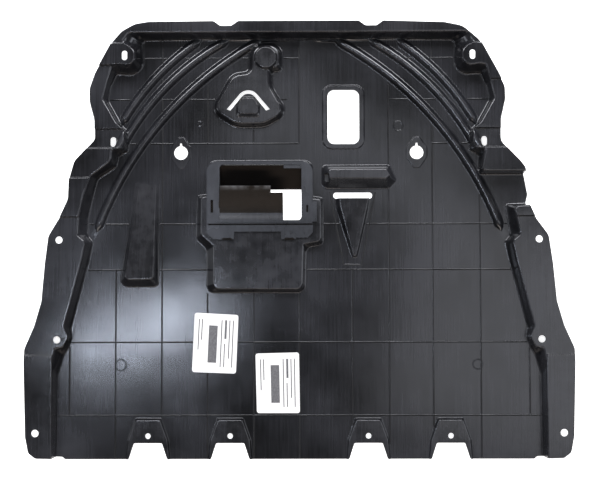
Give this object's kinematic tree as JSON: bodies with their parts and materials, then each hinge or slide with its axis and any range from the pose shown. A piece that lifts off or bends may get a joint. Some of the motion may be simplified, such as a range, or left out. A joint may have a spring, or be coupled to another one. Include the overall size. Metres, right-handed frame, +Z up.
{
  "type": "engine splash shield",
  "caption": "Moulded undertray with a raised bolted rim, swept stiffening beads, raised pods and an air duct insert clipped into its middle",
  "frame": {"origin": "middle of the bounding box in plan, on the underside of the floor", "axes": "+X across the car along the widest side, +Y to the rear edge, +Z up to the engine side"},
  "size_m": [0.892, 0.717, 0.0463],
  "materials": {
    "tray_plastic": "satin charcoal moulding with fine streaks",
    "insert_plastic": "satin, slightly lighter grey"
  },
  "bodies": {
    "root": {"shield_panel": "tray_plastic", "duct_insert": "insert_plastic"}
  },
  "joints": []
}
